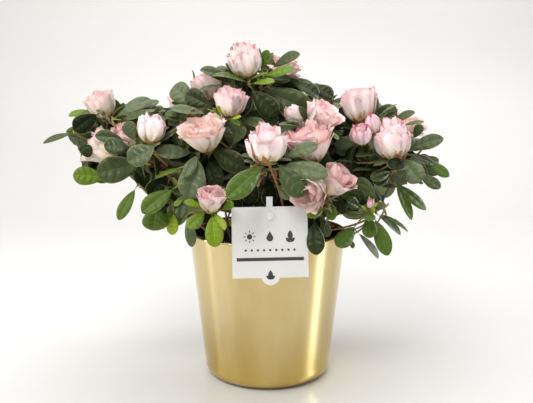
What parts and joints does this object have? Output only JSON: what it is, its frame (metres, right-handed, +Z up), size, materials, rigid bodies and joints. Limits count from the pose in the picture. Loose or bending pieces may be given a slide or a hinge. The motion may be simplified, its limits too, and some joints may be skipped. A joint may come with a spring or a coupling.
{
  "type": "potted rhododendron",
  "caption": "Compact pink double-flowered evergreen pot azalea in a tapering mirror-gold cover pot, with a plain square card on a clear stake.",
  "frame": {"origin": "centre of the pot's flat underside, on the surface that it stands on", "axes": "+Z up, the front with the label faces -Y, +X to the right of someone who looks at the front"},
  "size_m": [0.3551, 0.2647, 0.2932],
  "materials": {
    "gold": "mirror-like pale gold lustre over smooth glazed ceramic",
    "soil": "loose moist peat and bark compost, almost black",
    "bark": "rough grey-brown bark, redder on the young limbs",
    "foliage": "satin deep green leaves and ruffled pale pink double blooms on thin brown twigs",
    "card": "smooth matt off-white card",
    "clear": "clear glossy plastic"
  },
  "bodies": {
    "root": {"pot": "gold", "soil": "soil", "trunk": "bark", "bough_top": "bark", "bough_upper_left": "bark", "bough_upper_right": "bark", "bough_right_top": "bark", "bough_far_left": "bark", "bough_mid_left": "bark", "bough_front": "bark", "bough_right": "bark", "bough_inner_left": "bark", "bough_inner_right": "bark", "bough_back_right": "bark", "bough_back": "bark", "bough_back_left": "bark", "bough_low_left": "bark", "bough_low_front_left": "bark", "bough_low_front_right": "bark", "bough_low_right": "bark", "bough_low_back_right": "bark", "bough_low_back": "bark", "bough_low_back_left": "bark", "foliage_top": "foliage", "foliage_upper_left": "foliage", "foliage_upper_right": "foliage", "foliage_right_top": "foliage", "foliage_far_left": "foliage", "foliage_mid_left": "foliage", "foliage_front": "foliage", "foliage_right": "foliage", "foliage_inner_left": "foliage", "foliage_inner_right": "foliage", "foliage_back_right": "foliage", "foliage_back": "foliage", "foliage_back_left": "foliage", "foliage_low_left": "foliage", "foliage_low_front_left": "foliage", "foliage_low_front_right": "foliage", "foliage_low_right": "foliage", "foliage_low_back_right": "foliage", "foliage_low_back": "foliage", "foliage_low_back_left": "foliage", "label_card": "card", "label_stake": "clear"}
  },
  "joints": []
}
